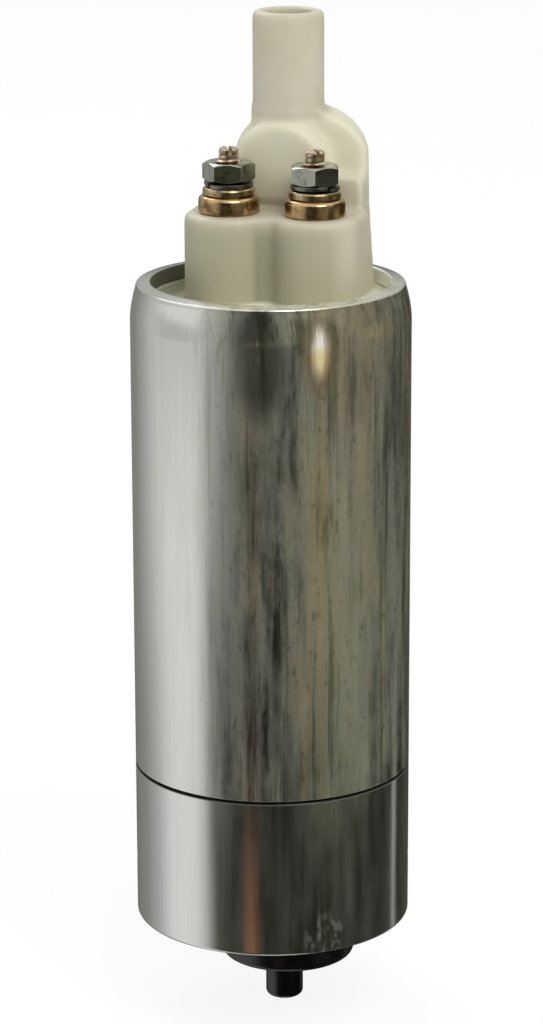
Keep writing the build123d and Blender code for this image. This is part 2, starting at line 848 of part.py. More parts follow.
def relief_ball():
    """Steel ball on the relief seat."""
    return Pos(relief_x, relief_y, ball_height) * Sphere(relief_ball_radius)


def relief_spring():
    """Spring that holds the relief ball shut."""
    clear = relief_ball_radius + relief_spring_wire + slip_gap
    low = ball_height + math.sqrt(clear ** 2 - relief_spring_radius ** 2) - relief_spring_wire
    spring = coil_spring(relief_spring_radius, relief_spring_wire, relief_spring_turns,
                         low, relief_bore_top - seat_gap)
    return Pos(relief_x, relief_y, 0) * spring


def save(name, shape):
    """Write a piece, or a group of like pieces, in the finished frame."""
    solids = shape if isinstance(shape, list) else [shape]
    moved = [Pos(0, 0, -clamp_middle) * s for piece in solids for s in piece.solids()]
    result = moved[0] if len(moved) == 1 else Compound(children=moved)
    export_step(result, "parts/" + name + ".step")


os.makedirs("parts", exist_ok=True)
save("motor_can", motor_can())
save("pump_sleeve", pump_sleeve())
save("inlet_cover", inlet_cover())
save("cover_gasket", cover_gasket())
save("inlet_plate", inlet_plate())
save("rotor_ring", rotor_ring())
save("outlet_plate", outlet_plate())
save("pump_screws", pump_screws())
save("alignment_pins", alignment_pins())
save("outer_rotor", outer_rotor())
save("inner_rotor", inner_rotor())
save("armature_shaft", armature_shaft())
save("armature_core", armature_core())
save("armature_windings", armature_windings())
save("commutator", commutator())
save("thrust_washers", thrust_washers())
save("lower_bush", bush(lower_bush_foot, lower_bush_height))
save("upper_bush", bush(holder_foot, upper_bush_height))
save("magnet_left", magnet(180))
save("magnet_right", magnet(0))
save("magnet_clips", magnet_clips())
save("brush_holder", brush_holder())
for side, x in (("left", -brush_x), ("right", brush_x)):
    save("brush_" + side, brush(x))
    save("brush_spring_" + side, brush_spring(x))
    save("brush_lead_" + side, brush_lead(x))
save("end_cap", end_cap())
save("cap_seal", cap_seal())
save("terminal_studs", terminal_studs())
save("terminal_collars", rounded_ring(spacer_radius, boss_top, spacer_top))
save("terminal_washers", rounded_ring(flat_washer_radius, spacer_top, flat_washer_top))
save("lock_washers", lock_washers())
save("terminal_nuts", terminal_nuts())
save("check_valve", check_valve())
save("check_spring", check_spring())
save("valve_retainer", valve_retainer())
save("relief_seat", relief_seat())
save("relief_ball", relief_ball())
save("relief_spring", relief_spring())
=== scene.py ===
import json
import math

import bpy
from mathutils import Matrix, Vector


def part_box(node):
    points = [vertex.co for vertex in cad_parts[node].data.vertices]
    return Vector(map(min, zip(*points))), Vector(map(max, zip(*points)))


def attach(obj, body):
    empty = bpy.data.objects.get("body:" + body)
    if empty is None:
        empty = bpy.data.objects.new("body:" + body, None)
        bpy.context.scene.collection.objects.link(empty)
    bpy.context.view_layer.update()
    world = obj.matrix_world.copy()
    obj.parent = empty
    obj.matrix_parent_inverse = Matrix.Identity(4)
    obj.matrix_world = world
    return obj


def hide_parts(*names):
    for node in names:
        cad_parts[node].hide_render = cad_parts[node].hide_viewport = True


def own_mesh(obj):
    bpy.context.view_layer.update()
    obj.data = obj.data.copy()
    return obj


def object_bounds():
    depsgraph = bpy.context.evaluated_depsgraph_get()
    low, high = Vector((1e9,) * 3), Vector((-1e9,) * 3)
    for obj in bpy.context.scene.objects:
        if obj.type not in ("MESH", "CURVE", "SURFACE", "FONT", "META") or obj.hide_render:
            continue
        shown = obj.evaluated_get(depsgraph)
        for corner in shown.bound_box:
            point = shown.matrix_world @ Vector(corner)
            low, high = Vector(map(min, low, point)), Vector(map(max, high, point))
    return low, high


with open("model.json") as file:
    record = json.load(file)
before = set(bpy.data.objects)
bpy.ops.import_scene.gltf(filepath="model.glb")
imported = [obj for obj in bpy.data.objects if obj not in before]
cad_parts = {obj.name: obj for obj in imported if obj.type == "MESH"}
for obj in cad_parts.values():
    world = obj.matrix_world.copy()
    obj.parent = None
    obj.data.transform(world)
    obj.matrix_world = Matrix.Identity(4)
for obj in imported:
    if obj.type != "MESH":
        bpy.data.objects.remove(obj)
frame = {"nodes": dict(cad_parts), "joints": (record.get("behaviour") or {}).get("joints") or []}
cad_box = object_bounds()


# Motor can. A steel cup, deep drawn, nickel plated and brushed along its length. Its mouth is
# rolled in over the white cap, and its lower end is swaged down to slip inside the sleeve.
MM = 0.001
can_low, can_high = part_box("motor_can")
sleeve_low, sleeve_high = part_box("pump_sleeve")
barrel_radius = can_high.x
rim_height = can_high.z
seam_width = 0.36 * MM
can_foot = sleeve_high.z + seam_width
can_wall = 1.2 * MM
fit_gap = 0.05 * MM
spigot_wall = 1.0 * MM
spigot_root = 1.5 * MM
shoulder_height = 5.6 * MM
shoulder_lean = 0.9 * MM
shoulder_curve = 1.7
shoulder_steps = 12
crest_inset = 1.2 * MM
crest_round = 0.45 * MM
crest_turn = math.radians(68)
crest_height = rim_height + 0.15 * MM
lip_reach = 3.2 * MM
lip_inside = barrel_radius - lip_reach
lip_rise = 0.28 * MM
lip_edge = 0.3 * MM
crimp_depth = 1.88 * MM
crimp_chamfer = 1.2 * MM
can_edge = 0.12 * MM
crest_steps = 6
lathe_steps = 180


def alone():
    """Leave nothing selected, so that the next operator acts on its own piece."""
    bpy.ops.object.select_all(action="DESELECT")


def drawn(name, points):
    """A wire pulled from a single point along the others, in edit mode."""
    alone()
    bpy.ops.mesh.primitive_plane_add(size=MM, location=points[0])
    wire = bpy.context.object
    wire.name = name
    bpy.ops.object.transform_apply()
    bpy.ops.object.mode_set(mode="EDIT")
    bpy.ops.mesh.merge(type="CENTER")
    for here, there in zip(points, points[1:]):
        step = Vector(there) - Vector(here)
        bpy.ops.mesh.extrude_vertices_move(TRANSFORM_OT_translate={"value": step})
    return wire


def turned(name, outline, centre=(0.0, 0.0), steps=lathe_steps):
    """A piece turned about an upright axis from a closed outline of (radius, height) points."""
    around = [(centre[0] + radius, centre[1], height) for radius, height in outline]
    piece = drawn(name, around + around[:1])
    bpy.ops.mesh.select_all(action="SELECT")
    bpy.ops.mesh.remove_doubles(threshold=1e-7)
    bpy.ops.mesh.spin(steps=steps, angle=math.tau, center=(*centre, 0), axis=(0, 0, 1))
    bpy.ops.mesh.select_all(action="SELECT")
    bpy.ops.mesh.remove_doubles(threshold=1e-6)
    bpy.ops.mesh.normals_make_consistent(inside=False)
    bpy.ops.object.mode_set(mode="OBJECT")
    return piece


def applied(piece, kind, **settings):
    """Add one modifier to a piece and apply it."""
    alone()
    piece.select_set(True)
    bpy.context.view_layer.objects.active = piece
    modifier = piece.modifiers.new(kind.lower(), kind)
    for name, value in settings.items():
        setattr(modifier, name, value)
    bpy.ops.object.modifier_apply(modifier=modifier.name)


def softened(piece, width=0.0, smooth_angle=32, segments=3):
    """Break the sharp edges of a piece and smooth the faces between them. The broad faces keep
    their own normals, so that only the narrow broken edge bends the light."""
    if width:
        applied(piece, "BEVEL", width=width, segments=segments, limit_method="ANGLE",
                angle_limit=math.radians(30))
    alone()
    piece.select_set(True)
    bpy.context.view_layer.objects.active = piece
    bpy.ops.object.shade_smooth_by_angle(angle=math.radians(smooth_angle))
    if width:
        applied(piece, "WEIGHTED_NORMAL", keep_sharp=True)
    return piece


class Shade:
    """A value on a finish's node tree. Arithmetic on it adds Math nodes."""

    def __init__(self, tree, socket):
        self.tree = tree
        self.socket = socket

    def node(self, kind, settings, inputs, output=0):
        """Add a node: its settings are set first, then the values or links of its sockets."""
        made = self.tree.nodes.new("ShaderNode" + kind)
        for name, value in settings.items():
            if name == "stops":
                for extra in value[2:]:
                    made.color_ramp.elements.new(extra[0])
                for stop, (place, colour) in zip(made.color_ramp.elements, value):
                    stop.position = place
                    stop.color = (*colour, 1)
            else:
                setattr(made, name, value)
        for name, value in inputs.items():
            if isinstance(value, Shade):
                self.tree.links.new(value.socket, made.inputs[name])
            else:
                made.inputs[name].default_value = value
        return Shade(self.tree, made.outputs[output])

    def math(self, operation, first, second=0.0):
        return self.node("Math", {"operation": operation}, {0: first, 1: second})

    def __add__(self, other):
        return self.math("ADD", self, other)

    def __sub__(self, other):
        return self.math("SUBTRACT", self, other)

    def __rsub__(self, other):
        return self.math("SUBTRACT", other, self)

    def __mul__(self, other):
        return self.math("MULTIPLY", self, other)

    __radd__ = __add__
    __rmul__ = __mul__

    def part(self, axis):
        """X, Y or Z of a place."""
        return self.node("SeparateXYZ", {}, {0: self}, axis)

    def stretched(self, x, y, z):
        """A place scaled along each axis, so that a pattern on it is drawn out."""
        return self.node("VectorMath", {"operation": "MULTIPLY"}, {0: self, 1: (x, y, z)})

    def away_from(self, spot, upright=1.0):
        """The distance of a place from a spot, with heights counted upright times."""
        apart = self.node("VectorMath", {"operation": "SUBTRACT"}, {0: self, 1: spot})
        apart = apart.stretched(1, 1, upright)
        return self.node("VectorMath", {"operation": "LENGTH"}, {0: apart}, 1)

    def noise(self, scale, detail=3.0, roughness=0.55, distortion=0.0):
        """Cloudy values from 0 to 1 at a place."""
        return self.node("TexNoise", {}, {"Vector": self, "Scale": scale, "Detail": detail,
                                          "Roughness": roughness, "Distortion": distortion})

    def rise(self, low, high):
        """0 below low, 1 above high, and smooth in between. It falls where low is above high."""
        settings = {"interpolation_type": "SMOOTHSTEP"}
        return self.node("MapRange", settings, {"Value": self, "From Min": low, "From Max": high})

    def blend(self, first, second):
        """The colour first where this value is 0 and second where it is 1."""
        settings = {"data_type": "RGBA"}
        colours = [c if isinstance(c, Shade) else (*c, 1) for c in (first, second)]
        return self.node("Mix", settings, {0: self, 6: colours[0], 7: colours[1]}, 2)


def new_finish(name, **constants):
    """A finish with the shader's steady values, and the place on the object that patterns read."""
    finish = bpy.data.materials.new(name)
    finish.use_nodes = True
    shader = finish.node_tree.nodes["Principled BSDF"]
    for socket, value in constants.items():
        shader.inputs[socket.replace("_", " ").title().replace("Ior", "IOR")].default_value = value
    place = finish.node_tree.nodes.new("ShaderNodeTexCoord")
    return finish, Shade(finish.node_tree, place.outputs["Object"])


def painted(finish, colour=None, roughness=None, metallic=None, height=None, depth=0.0):
    """Link what changes over the surface. Height is a pattern of 0 to 1, and depth its relief."""
    shader = finish.node_tree.nodes["Principled BSDF"]
    relief = None
    if height is not None:
        relief = height.node("Bump", {}, {"Height": height, "Distance": depth, "Strength": 1.0})
    wanted = {"Base Color": colour, "Roughness": roughness, "Metallic": metallic, "Normal": relief}
    for socket, value in wanted.items():
        if value is not None:
            finish.node_tree.links.new(value.socket, shader.inputs[socket])
    return finish


def laid_on(piece, finish, slot, body, *nodes):
    """Give a new piece its finish, and let it ride and stand for its nodes. Its slot is not used.
    """
    piece.data.materials.clear()
    piece.data.materials.append(finish)
    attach(piece, body)
    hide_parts(*nodes)


def plated_finish(name, streak_depth, tarnish, roughness, seed):
    """Nickel on drawn steel. The side that faces the terminals is stained by fuel and handling:
    a grey-green bloom with dark spots, streaks and scores, and pale smudges near the foot. Under
    the rim sits a painted gold highlight with a pale top, in a painted dark brown reflection, and a
    painted gold-brown reflection runs up and down the can through it. In the mouth the colour runs
    from dark on the left to a painted pale light on the right. Dirt lies in the parting line. Each
    fade gives where a mask starts and where it is full, as a distance or a height."""
    bright = (0.67, 0.68, 0.675)
    green_bloom = (0.52, 0.56, 0.38)
    grey_bloom = (0.60, 0.58, 0.40)
    olive = (0.22, 0.225, 0.15)
    brown = (0.52, 0.38, 0.22)
    pale_bloom = (0.70, 0.72, 0.60)
    highlight_gold = (0.80, 0.66, 0.35)
    reflected_gold_brown = (0.68, 0.54, 0.31)
    reflected_dark_brown = (0.40, 0.29, 0.16)
    highlight_pale_top = (0.90, 0.86, 0.74)
    mouth_painted_light = (0.92, 0.93, 0.86)
    mouth_left_dark = (0.12, 0.125, 0.085)
    seam_dirt = (0.03, 0.032, 0.022)
    highlight_place = (11.87 * MM, -17.8 * MM, 46.0 * MM)
    bare_place = (3.36 * MM, -21.2 * MM, 45.0 * MM)
    smudge_place = (12.64 * MM, -17.39 * MM, -46.0 * MM)
    stained_way = (0.766, -0.643, 0.0)
    under_rim_fade = (rim_height - 14 * MM, rim_height - 3 * MM)
    lip_fade = (crest_height - 0.3 * MM, crest_height + 0.1 * MM)
    mouth_fade = (lip_inside + 0.25 * MM, lip_inside + 0.08 * MM)
    mouth_light_fade = (-4 * MM, 8 * MM)
    seam_foot_fade = (sleeve_high.z - 0.24 * MM, sleeve_high.z - 0.10 * MM)
    seam_top_fade = (can_foot + 0.18 * MM, can_foot + 0.05 * MM)
    bare_fade = (5.5 * MM, 2.5 * MM)
    reflection_run_fade = (6.0 * MM, 1.5 * MM)
    reflection_halo_fade = (3.6 * MM, 1.6 * MM)
    highlight_fade = (2.2 * MM, 0.7 * MM)
    highlight_top_fade = (highlight_place[2] - 0.5 * MM, highlight_place[2] + 1.5 * MM)
    highlight_raggedness = 2.2 * MM
    smudge_fade = (4.5 * MM, 2.0 * MM)
    finish, place = new_finish(name)
    height = place.part(2)
    facing = place.node("VectorMath", {"operation": "DOT_PRODUCT"}, {0: place, 1: stained_way}, 1)
    stained_side = (facing * (1 / barrel_radius)).rise(0.25, 0.8)
    shifted = place.node("VectorMath", {"operation": "ADD"}, {0: place, 1: (seed, seed, seed)})
    lines = shifted.stretched(1, 1, 0.02).noise(1500, 3.0, 0.55)
    scratches = shifted.stretched(1, 1, 0.07).noise(1150, 4.0, 0.7, 0.2)
    tints = shifted.stretched(1, 1, 0.6).noise(130, 3.0)
    smears = shifted.stretched(1, 1, 0.10).noise(430, 5.0, 0.66)
    blots = shifted.stretched(1, 1, 0.45).noise(210, 6.0, 0.7, 0.3)
    clouds = shifted.stretched(1, 1, 0.5).noise(70, 3.0)
    spots = shifted.stretched(1, 1, 0.5).noise(900, 3.0)
    stripes = shifted.stretched(1, 1, 0.03).noise(620, 4.0, 0.68)
    browned = shifted.stretched(1, 1, 0.10).noise(85, 3.0)
    stained = stained_side * tarnish
    spread = (0.22 + stained_side * 0.78) * tarnish
    under_rim = height.rise(*under_rim_fade)
    hazy = blots * 0.3 + smears * 0.5 + clouds * 0.2 + under_rim * stained_side * 0.03
    covered = 1.0 - place.away_from(bare_place, 0.45).rise(*bare_fade) * 0.85
    haze = hazy.rise(0.36, 0.66) * spread * covered
    dark = (blots * 0.4 + smears * 0.6).rise(0.50, 0.34) * stained
    spotted = spots.rise(0.60, 0.74) * stained
    scored = scratches.rise(0.56, 0.68) * stained * (0.45 + under_rim * 0.55)
    warm = browned.rise(0.54, 0.68) * stained
    colour = lines.rise(0.35, 0.75).blend(bright, tuple(0.96 * c for c in bright))
    colour = haze.blend(colour, tints.rise(0.42, 0.58).blend(green_bloom, grey_bloom))
    colour = (warm * 0.45).blend(colour, brown)
    # Painted reflection: a gold-brown streak up and down the can through the highlight's place.
    reflection_run = place.away_from(highlight_place, 0.0).rise(*reflection_run_fade) * tarnish
    colour = (reflection_run * stripes.rise(0.44, 0.60) * 0.75).blend(colour, reflected_gold_brown)
    colour = (stripes.rise(0.53, 0.66) * stained * covered * 0.4).blend(colour, pale_bloom)
    colour = (stripes.rise(0.48, 0.36) * stained * 0.75).blend(colour, olive)
    colour = (dark * 0.7).blend(colour, olive)
    colour = (spotted * 0.65).blend(colour, olive)
    colour = (scored * 0.75).blend(colour, olive)
    # Painted reflection and highlight: a dark brown ring round a gold highlight with a pale top.
    from_highlight = place.away_from(highlight_place, 0.4) + (smears - 0.5) * highlight_raggedness
    colour = (from_highlight.rise(*reflection_halo_fade) * 0.7).blend(colour, reflected_dark_brown)
    painted_highlight = from_highlight.rise(*highlight_fade) * (0.5 + stripes.rise(0.38, 0.52) * 0.5)
    colour = painted_highlight.blend(colour, height.rise(*highlight_top_fade).blend(highlight_gold, highlight_pale_top))
    smudges = place.away_from(smudge_place).rise(*smudge_fade) * spots.rise(0.50, 0.60)
    colour = (smudges * 0.5).blend(colour, pale_bloom)
    on_lip = height.rise(*lip_fade) * stained_side * blots.rise(0.30, 0.52)
    colour = (on_lip * 0.9).blend(colour, pale_bloom)
    # In the mouth the colour runs from dark on the left to a painted pale light on the right.
    in_mouth = place.away_from((0, 0, 0), 0.0).rise(*mouth_fade)
    mouth_colour = place.part(0).rise(*mouth_light_fade).blend(mouth_left_dark, mouth_painted_light)
    colour = in_mouth.blend(colour, mouth_colour)
    in_seam = height.rise(*seam_foot_fade) * height.rise(*seam_top_fade)
    colour = in_seam.blend(colour, seam_dirt)
    light_scores = scratches.rise(0.40, 0.30) * stained * (0.25 + under_rim * 0.75)
    metal = (1.0 - haze * 0.22 - light_scores * 0.25) * (1.0 - painted_highlight * 0.8)
    metal = metal * (1.0 - on_lip * 0.4) * (1.0 - in_mouth * 0.85)
    metal = metal * (1.0 - smudges * 0.12) * (1.0 - in_seam)
    dulled = lines * 0.06 + haze * 0.18 + smears * 0.05 + in_mouth * 0.3 + roughness
    relief = lines * 0.2 + smears * 0.8
    return painted(finish, colour, dulled, metal, relief, streak_depth)


can_bore = barrel_radius - can_wall
spigot_outside = can_bore - fit_gap
spigot_bore = spigot_outside - spigot_wall
spigot_foot = can_low.z
shoulder = []
for step in range(shoulder_steps):
    share = step / shoulder_steps
    shoulder.append((barrel_radius - shoulder_lean * share ** shoulder_curve,
                     crest_height - shoulder_height + (shoulder_height - crest_round) * share))
crest = []
for step in range(crest_steps + 1):
    turn = crest_turn * step / crest_steps
    crest.append((barrel_radius - crest_inset + (crest_inset - shoulder_lean) * math.cos(turn),
                  crest_height - crest_round * (1 - math.sin(turn))))
for step in range(crest_steps + 1):
    turn = math.pi / 2 * step / crest_steps
    crest.append((lip_inside + lip_edge * (1 - math.sin(turn)),
                  crest_height + lip_rise - lip_edge * (1 - math.cos(turn))))
can_outline = [
    (barrel_radius, can_foot),
    *shoulder,
    *crest,
    (lip_inside, rim_height - crimp_depth),
    (can_bore - crimp_chamfer, rim_height - crimp_depth),
    (can_bore, rim_height - crimp_depth - crimp_chamfer),
    (can_bore, can_foot + spigot_root + can_wall),
    (spigot_bore, can_foot + spigot_root),
    (spigot_bore, spigot_foot),
    (spigot_outside, spigot_foot),
    (spigot_outside, can_foot),
]
can_piece = softened(turned("can_shell", can_outline), can_edge)
can_finish = plated_finish("nickel_can", 0.003 * MM, 1.0, 0.1, 0.0)
laid_on(can_piece, can_finish, "can_steel", "housing", "motor_can")


# Pump sleeve. The short steel tube that closes the barrel's lower end, of the same plate as the
# can but less brushed. Its foot is rolled in under the inlet cover, and a faint ring shows inside.
sleeve_lip = 1.2 * MM
sleeve_lip_reach = 3.0 * MM
foot_round = 0.6 * MM
foot_steps = 5
sleeve_edge = 0.1 * MM
crease_height = sleeve_low.z + 9.2 * MM
crease_width = 0.9 * MM
crease_depth = 0.03 * MM
foot_corner = []
for step in range(foot_steps + 1):
    turn = math.pi / 2 * step / foot_steps
    foot_corner.append((barrel_radius - foot_round * (1 - math.sin(turn)),
                        sleeve_low.z + foot_round * (1 - math.cos(turn))))
sleeve_outline = [
    (barrel_radius - sleeve_lip_reach, sleeve_low.z),
    *foot_corner,
    (barrel_radius, crease_height - crease_width),
    (barrel_radius - crease_depth, crease_height),
    (barrel_radius, crease_height + crease_width),
    (barrel_radius, sleeve_high.z),
    (can_bore, sleeve_high.z),
    (can_bore, sleeve_low.z + sleeve_lip),
    (barrel_radius - sleeve_lip_reach, sleeve_low.z + sleeve_lip),
]
sleeve_piece = softened(turned("pump_sleeve_shell", sleeve_outline), sleeve_edge)
sleeve_finish = plated_finish("nickel_sleeve", 0.001 * MM, 0.25, 0.07, 0.35)
laid_on(sleeve_piece, sleeve_finish, "sleeve_steel", "housing", "pump_sleeve")


# Outlet cap. One moulding of natural acetal: the plug in the can's mouth, two terminal bosses,
# the tower behind them with its arches, and the hose tube. Every inner corner has a soft fillet.
def copy_of(node, name):
    """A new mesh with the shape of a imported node, its points merged."""
    mesh = frame["nodes"][node].data.copy()
    piece = bpy.data.objects.new(name, mesh)
    bpy.context.scene.collection.objects.link(piece)
    alone()
    piece.select_set(True)
    bpy.context.view_layer.objects.active = piece
    bpy.ops.object.mode_set(mode="EDIT")
    bpy.ops.mesh.select_all(action="SELECT")
    bpy.ops.mesh.remove_doubles(threshold=1e-6)
    bpy.ops.object.mode_set(mode="OBJECT")
    return piece


collar_low, collar_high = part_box("terminal_collars")
valve_low, valve_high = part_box("check_valve")
boss_top = collar_low.z
cap_voxel = 0.32 * MM
cap_piece = copy_of("end_cap", "outlet_cap")
applied(cap_piece, "REMESH", mode="VOXEL", voxel_size=cap_voxel)
applied(cap_piece, "SMOOTH", factor=0.5, iterations=14)
front_arch_radius = 7.9 * MM
front_arch_spring = rim_height + 15.8 * MM
front_arch_face = 6.0 * MM
front_arch_foot = boss_top + 0.3 * MM
front_arch_proud = 0.9 * MM
front_arch_edge = 0.7 * MM
front_arch_fade = 1.0 * MM
front_arch_band = 1.2 * MM
for point in cap_piece.data.vertices:
    x, y, z = point.co
    inward = front_arch_radius - math.hypot(x, max(z - front_arch_spring, 0))
    share = min(inward / front_arch_edge, (z - front_arch_foot) / front_arch_fade, 1.0)
    if share > 0 and abs(y - front_arch_face) < front_arch_band:
        point.co.y -= front_arch_proud * share
arches = cap_piece.vertex_groups.new(name="arches")
arch_foot = boss_top + 2.5 * MM
arch_top = boss_top + 17 * MM
arch_fade = 2.5 * MM
tube_axis = Vector(((valve_low.x + valve_high.x) / 2, (valve_low.y + valve_high.y) / 2, 0))
tube_clear = 6.0 * MM
tube_fade = 1.5 * MM
tube_foot = boss_top + 10 * MM
for point in cap_piece.data.vertices:
    inside = min(point.co.z - arch_foot, arch_top - point.co.z) / arch_fade
    beside = ((point.co - tube_axis).xy.length - tube_clear) / tube_fade
    if point.co.z > tube_foot:
        inside = min(inside, beside)
    if inside > 0:
        arches.add([point.index], min(inside, 1.0), "REPLACE")
applied(cap_piece, "SMOOTH", factor=0.5, iterations=36, vertex_group="arches")
cap_piece.vertex_groups.clear()
softened(cap_piece, smooth_angle=60)
acetal = (0.66, 0.62, 0.49)
acetal_shade = (0.61, 0.575, 0.43)
acetal_lit = (0.80, 0.78, 0.60)
acetal_in_shade = (0.47, 0.455, 0.32)
valley_shade = (0.27, 0.275, 0.19)
deck_shade = (0.40, 0.41, 0.29)
valley_shade_left_fade = (-2.0 * MM, -0.7 * MM)
valley_shade_right_fade = (7.5 * MM, -0.7 * MM)
valley_shade_depth_fade = (-2.5 * MM, -4.5 * MM)
valley_shade_top_fade = (boss_top - 0.5 * MM, boss_top - 4 * MM)
deck_height = rim_height - 3.1 * MM
deck_fade = (deck_height + 1.2 * MM, deck_height + 0.4 * MM)
deck_shade_fade = (-7 * MM, -11 * MM)
boss_fade = (boss_top + 1 * MM, boss_top - 3 * MM)
right_side_fade = (10 * MM, 13 * MM)
tube_height_fade = (boss_top + 12.5 * MM, boss_top + 14 * MM)
lit_above_fade = (boss_top + 2 * MM, boss_top + 7 * MM)
cap_finish, place = new_finish("natural_acetal", subsurface_weight=0.35, subsurface_scale=1.5 * MM,
                               subsurface_radius=(1.0, 0.85, 0.55), ior=1.48)
clouds = place.noise(130, 4.0, 0.6)
pores = place.noise(2600, 2.0)
height = place.part(2)
across = place.part(0)
# Painted light and shade: the tower above the bosses is lit paler, the bosses and what lies below
# them are in painted shade except on the right, and the deck is in painted shade on the left and
# lit pale on the right.
shaded_low_down = height.rise(*boss_fade) * (1.0 - across.rise(*right_side_fade) * 0.8)
beside_tube = place.away_from(tube_axis, 0.0).rise(tube_clear, tube_clear + tube_fade)
on_tube = height.rise(*tube_height_fade) * (1.0 - beside_tube)
lit_above = height.rise(*lit_above_fade) * (1.0 - on_tube)
# Painted shade in the valley between the bosses, sharp on its left and fading slowly to the right.
in_valley = across.rise(*valley_shade_left_fade) * across.rise(*valley_shade_right_fade)
valley_shade_mask = in_valley * place.part(1).rise(*valley_shade_depth_fade) * height.rise(*valley_shade_top_fade)
on_deck = height.rise(*deck_fade)
cap_colour = clouds.rise(0.35, 0.7).blend(acetal, acetal_shade)
cap_colour = (lit_above * 0.9).blend(cap_colour, acetal_lit)
cap_colour = (shaded_low_down * 0.85).blend(cap_colour, acetal_in_shade)
cap_colour = (valley_shade_mask * (0.58 + clouds * 0.3)).blend(cap_colour, valley_shade)
deck_colour = across.rise(*deck_shade_fade).blend(acetal_lit, deck_shade)
cap_colour = on_deck.blend(cap_colour, deck_colour)
cap_roughness = 0.36 + clouds * 0.12 + pores * 0.08
painted(cap_finish, cap_colour, cap_roughness, None, clouds * 0.8 + pores * 0.2, 0.02 * MM)
laid_on(cap_piece, cap_finish, "white_plastic", "housing", "end_cap")


# Inlet cover. Glossy black moulding under the pump, held by the sleeve's rolled foot. A round
# collar stands down from it round the inlet port, with a fluted peg that the strainer pushes on.
cover_chamfer = 0.18 * MM
cover_piece = copy_of("inlet_cover", "black_inlet_cover")
alone()
cover_piece.select_set(True)
bpy.ops.object.mode_set(mode="EDIT")
bpy.ops.mesh.select_all(action="SELECT")
bpy.ops.mesh.dissolve_limited(angle_limit=math.radians(0.5))
bpy.ops.object.mode_set(mode="OBJECT")
softened(cover_piece, cover_chamfer, segments=2)
cover_finish, place = new_finish("black_moulding", ior=1.5)
clouds = place.noise(240, 4.0, 0.6)
specks = place.noise(3200, 2.0)
cover_colour = clouds.rise(0.4, 0.75).blend((0.003, 0.003, 0.003), (0.009, 0.009, 0.009))
cover_roughness = 0.16 + clouds * 0.16 + specks.rise(0.6, 0.8) * 0.12
painted(cover_finish, cover_colour, cover_roughness, None, clouds * 0.7 + specks * 0.3, 0.02 * MM)
laid_on(cover_piece, cover_finish, "black_plastic", "housing", "inlet_cover")


# Terminal studs. Two plated brass screws moulded into the cap's bosses. Above the nut each ends
# in a narrower tip with a slot across it, in which a driver holds the stud while the nut turns.
stud_low, stud_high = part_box("terminal_studs")
nut_low, nut_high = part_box("terminal_nuts")
stud_head_radius = stud_high.y
terminals = {"left": stud_low.x + stud_head_radius, "right": stud_high.x - stud_head_radius}
stud_head_height = 1.2 * MM
stud_radius = 2.0 * MM
stud_root = 1.62 * MM
tip_root = 1.26 * MM
tip_radius = 1.5 * MM
stud_shoulder = nut_high.z + 0.55 * MM
stud_chamfer = 0.3 * MM
thread_pitch = 0.7 * MM
thread_foot = boss_top - 1.3 * MM
thread_steps = 40
thread_over = 0.03 * MM
thread_under = 0.01 * MM
slot_width = 0.55 * MM
slot_depth = 1.0 * MM
slot_turns = {"left": 26, "right": 34}


def joined(piece, other, operation):
    """Unite, cut or intersect a piece with another, which is used up."""
    applied(piece, "BOOLEAN", object=other, operation=operation, solver="EXACT")
    bpy.data.objects.remove(other)


def thread(name, crest, root, pitch, foot, top, centre):
    """A solid screw thread with sharp crests, cut flat at its foot and its top."""
    coils = math.ceil((top - foot) / pitch) + 2
    start = foot - pitch
    profile = [(centre[0] + root, 0, start), (centre[0] + crest, 0, start + pitch / 2),
               (centre[0] + root, 0, start + pitch)]
    piece = drawn(name, profile)
    bpy.ops.object.mode_set(mode="OBJECT")
    bpy.context.scene.cursor.location = (*centre, 0)
    bpy.ops.object.origin_set(type="ORIGIN_CURSOR")
    applied(piece, "SCREW", axis="Z", screw_offset=pitch, iterations=coils, steps=thread_steps,
            render_steps=thread_steps, use_merge_vertices=True, merge_threshold=1e-6)
    bpy.ops.object.transform_apply()
    bpy.context.scene.cursor.location = (0, 0, 0)
    bpy.ops.object.mode_set(mode="EDIT")
    bpy.ops.mesh.select_all(action="SELECT")
    bpy.ops.mesh.remove_doubles(threshold=1e-6)
    bpy.ops.mesh.bisect(plane_co=(0, 0, foot), plane_no=(0, 0, -1), use_fill=True, clear_outer=True)
    bpy.ops.mesh.select_all(action="SELECT")
    bpy.ops.mesh.bisect(plane_co=(0, 0, top), plane_no=(0, 0, 1), use_fill=True, clear_outer=True)
    bpy.ops.mesh.select_all(action="SELECT")
    bpy.ops.mesh.normals_make_consistent(inside=False)
    bpy.ops.object.mode_set(mode="OBJECT")
    return piece


def block(name, low, high, turn, about):
    """A cutting block between two corners, turned about an upright axis."""
    alone()
    bpy.ops.mesh.primitive_cube_add(size=1, location=about)
    piece = bpy.context.object
    piece.name = name
    bpy.ops.object.mode_set(mode="EDIT")
    bpy.ops.transform.resize(value=[b - a for a, b in zip(low, high)], center_override=about)
    bpy.ops.transform.translate(value=[(a + b) / 2 for a, b in zip(low, high)])
    bpy.ops.object.mode_set(mode="OBJECT")
    piece.rotation_euler.z = math.radians(turn)
    alone()
    piece.select_set(True)
    bpy.ops.object.transform_apply()
    return piece


